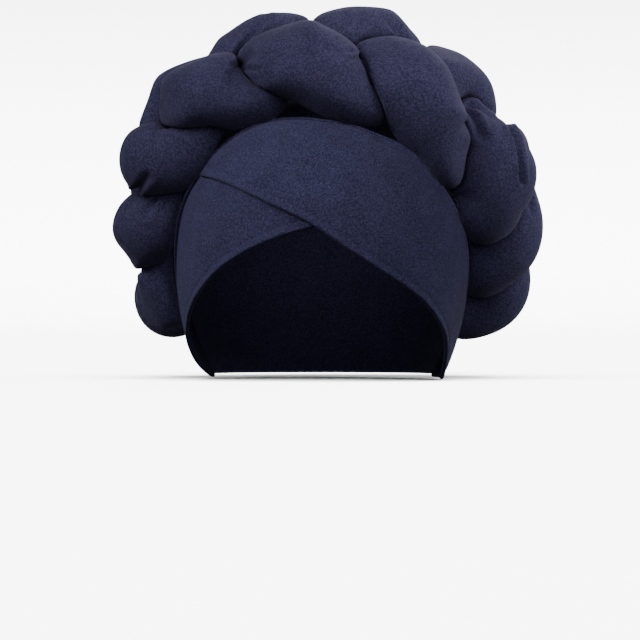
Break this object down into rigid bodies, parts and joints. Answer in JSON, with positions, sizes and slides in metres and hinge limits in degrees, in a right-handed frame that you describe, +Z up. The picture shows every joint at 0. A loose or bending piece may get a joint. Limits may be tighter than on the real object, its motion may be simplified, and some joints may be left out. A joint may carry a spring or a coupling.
{
  "type": "turban headband",
  "caption": "Navy knit turban headband: a close cap with two crossed front panels and a thick plaited halo of stuffed strands round it.",
  "frame": {"origin": "inside top of the crown, where the cap sits on the head", "axes": "+Z up, the front of the cap faces -Y, +X to the viewer's right seen from the front"},
  "size_m": [0.232, 0.2309, 0.1963],
  "materials": {
    "cap_knit": "matte stretch knit",
    "braid_knit": "matte stretch knit, stuffed"
  },
  "bodies": {
    "root": {"crown_cap": "cap_knit", "front_wrap_under": "cap_knit", "front_wrap_over": "cap_knit", "braid_strand_1": "braid_knit", "braid_strand_2": "braid_knit", "braid_strand_3": "braid_knit"}
  },
  "joints": []
}
